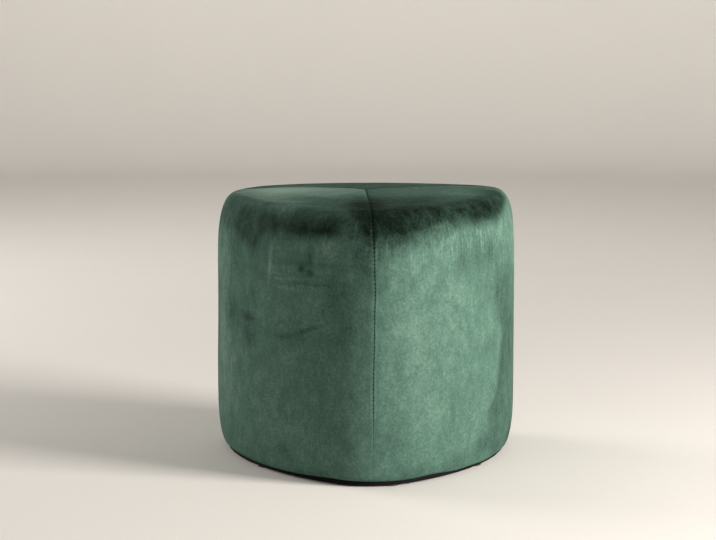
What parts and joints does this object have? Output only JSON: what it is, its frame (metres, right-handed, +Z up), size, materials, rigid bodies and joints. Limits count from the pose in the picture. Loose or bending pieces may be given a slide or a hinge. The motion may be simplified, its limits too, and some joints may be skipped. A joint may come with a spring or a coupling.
{
  "type": "pouf",
  "caption": "Low upholstered seat or footrest: rounded triangular plan, bulged velvet sides, crowned top with corner seams meeting in its middle, recessed black base.",
  "frame": {"origin": "on the floor, at the middle of the pouf's bounding box", "axes": "+Z up; -Y towards the front corner; +X to the right when facing that corner from the front"},
  "size_m": [0.4496, 0.4449, 0.3988],
  "materials": {
    "velvet": "short-pile dark green velvet, brushed lighter and darker",
    "base_cloth": "matt black non-woven cloth over the board",
    "glide": "matt black moulded plastic"
  },
  "bodies": {
    "root": {"velvet_body": "velvet", "base_board": "base_cloth", "glide_1": "glide", "glide_2": "glide", "glide_3": "glide", "glide_4": "glide", "glide_5": "glide", "glide_6": "glide"}
  },
  "joints": []
}
